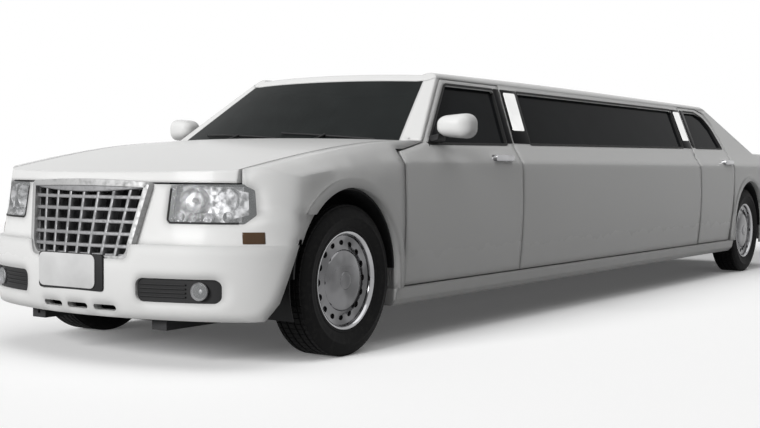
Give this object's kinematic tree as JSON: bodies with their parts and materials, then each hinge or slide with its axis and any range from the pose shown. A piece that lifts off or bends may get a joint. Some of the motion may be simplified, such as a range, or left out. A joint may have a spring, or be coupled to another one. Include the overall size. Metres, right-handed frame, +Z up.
{
  "type": "stretch limousine",
  "caption": "White stretch limousine with an egg-crate grille, long dark side windows, opening doors, bonnet and boot, steered front wheels and a bench-seat cabin.",
  "frame": {"origin": "on the ground, midway between bumpers and between the mirrors", "axes": "+X towards the nose, +Y to the car's left, +Z up"},
  "size_m": [8.0467, 2.142, 1.4866],
  "materials": {
    "paint_white": "gloss white body paint",
    "chrome": "bright chrome",
    "glass_dark": "dark privacy glass",
    "glass_clear": "lightly tinted windscreen glass",
    "lamp_clear": "clear lamp lens",
    "lamp_red": "red lamp lens",
    "black_plastic": "black moulded plastic",
    "underbody": "black underbody coating",
    "steel": "bare steel",
    "iron": "cast iron",
    "alloy": "aluminium",
    "tyre_rubber": "black tyre rubber",
    "trim_grey": "dark grey cabin trim",
    "leather_black": "black leather"
  },
  "bodies": {
    "body": {"front_bumper": "paint_white", "front_wings": "paint_white", "screen_pillars": "paint_white", "roof_panel": "paint_white", "side_panels": "paint_white", "sills": "paint_white", "quarter_panels": "paint_white", "rear_bumper": "paint_white", "grille": "chrome", "headlamps": "lamp_clear", "fog_lamps": "lamp_clear", "tail_lamps": "lamp_red", "long_windows": "glass_dark", "rear_window": "glass_dark", "windscreen": "glass_clear", "radiator": "alloy", "cowl": "black_plastic", "wheel_liners": "black_plastic", "floor_pan": "underbody", "chassis_frame": "underbody", "parcel_shelf": "underbody", "engine": "iron", "rear_axle": "iron", "drive_shaft": "steel", "exhaust": "steel", "door_hinges": "steel", "dashboard": "trim_grey", "steering_wheel": "trim_grey", "partition": "trim_grey", "front_seats": "leather_black", "cabin_benches": "leather_black"},
    "bonnet": {"bonnet": "paint_white"},
    "boot_lid": {"boot_lid": "paint_white"},
    "door_front_left": {"front_door_left": "paint_white", "front_glass_left": "glass_dark", "mirror_left": "paint_white"},
    "door_front_right": {"front_door_right": "paint_white", "front_glass_right": "glass_dark", "mirror_right": "paint_white"},
    "door_rear_left": {"rear_door_left": "paint_white", "rear_glass_left": "glass_dark"},
    "door_rear_right": {"rear_door_right": "paint_white", "rear_glass_right": "glass_dark"},
    "steer_left": {"knuckle_left": "iron"},
    "steer_right": {"knuckle_right": "iron"},
    "wheel_front_left": {"rim_front_left": "chrome", "tyre_front_left": "tyre_rubber"},
    "wheel_front_right": {"rim_front_right": "chrome", "tyre_front_right": "tyre_rubber"},
    "wheel_rear_left": {"rim_rear_left": "chrome", "tyre_rear_left": "tyre_rubber"},
    "wheel_rear_right": {"rim_rear_right": "chrome", "tyre_rear_right": "tyre_rubber"}
  },
  "joints": [
    {"name": "bonnet_lift", "type": "hinge", "parent": "body", "child": "bonnet", "pos_m": [2.56587, 0, 1.022], "axis": [0, -1, 0], "range_deg": [0, 52]},
    {"name": "boot_lift", "type": "hinge", "parent": "body", "child": "boot_lid", "pos_m": [-3.3745, 0, 1.037], "axis": [0, 1, 0], "range_deg": [0, 75]},
    {"name": "door_front_left_swing", "type": "hinge", "parent": "body", "child": "door_front_left", "pos_m": [2.6165, 0.88, 0.6], "axis": [0, 0, -1], "range_deg": [0, 65]},
    {"name": "door_front_right_swing", "type": "hinge", "parent": "body", "child": "door_front_right", "pos_m": [2.6165, -0.88, 0.6], "axis": [0, 0, 1], "range_deg": [0, 65]},
    {"name": "door_rear_left_swing", "type": "hinge", "parent": "body", "child": "door_rear_left", "pos_m": [-1.7585, 0.88, 0.6], "axis": [0, 0, -1], "range_deg": [0, 65]},
    {"name": "door_rear_right_swing", "type": "hinge", "parent": "body", "child": "door_rear_right", "pos_m": [-1.7585, -0.88, 0.6], "axis": [0, 0, 1], "range_deg": [0, 65]},
    {"name": "steer_left_turn", "type": "hinge", "parent": "body", "child": "steer_left", "pos_m": [3.1235, 0.8, 0.3635], "axis": [0, 0, 1], "range_deg": [-35, 35]},
    {"name": "steer_right_turn", "type": "hinge", "parent": "body", "child": "steer_right", "pos_m": [3.1235, -0.8, 0.3635], "axis": [0, 0, 1], "range_deg": [-35, 35]},
    {"name": "wheel_front_left_spin", "type": "hinge", "parent": "steer_left", "child": "wheel_front_left", "pos_m": [3.1235, 0.8, 0.3635], "axis": [0, 1, 0], "continuous": true},
    {"name": "wheel_front_right_spin", "type": "hinge", "parent": "steer_right", "child": "wheel_front_right", "pos_m": [3.1235, -0.8, 0.3635], "axis": [0, 1, 0], "continuous": true},
    {"name": "wheel_rear_left_spin", "type": "hinge", "parent": "body", "child": "wheel_rear_left", "pos_m": [-2.9725, 0.8, 0.3635], "axis": [0, 1, 0], "continuous": true},
    {"name": "wheel_rear_right_spin", "type": "hinge", "parent": "body", "child": "wheel_rear_right", "pos_m": [-2.9725, -0.8, 0.3635], "axis": [0, 1, 0], "continuous": true}
  ],
  "couplings": [
    {"joint": "steer_right_turn", "follows": "steer_left_turn", "ratio": 1}
  ]
}
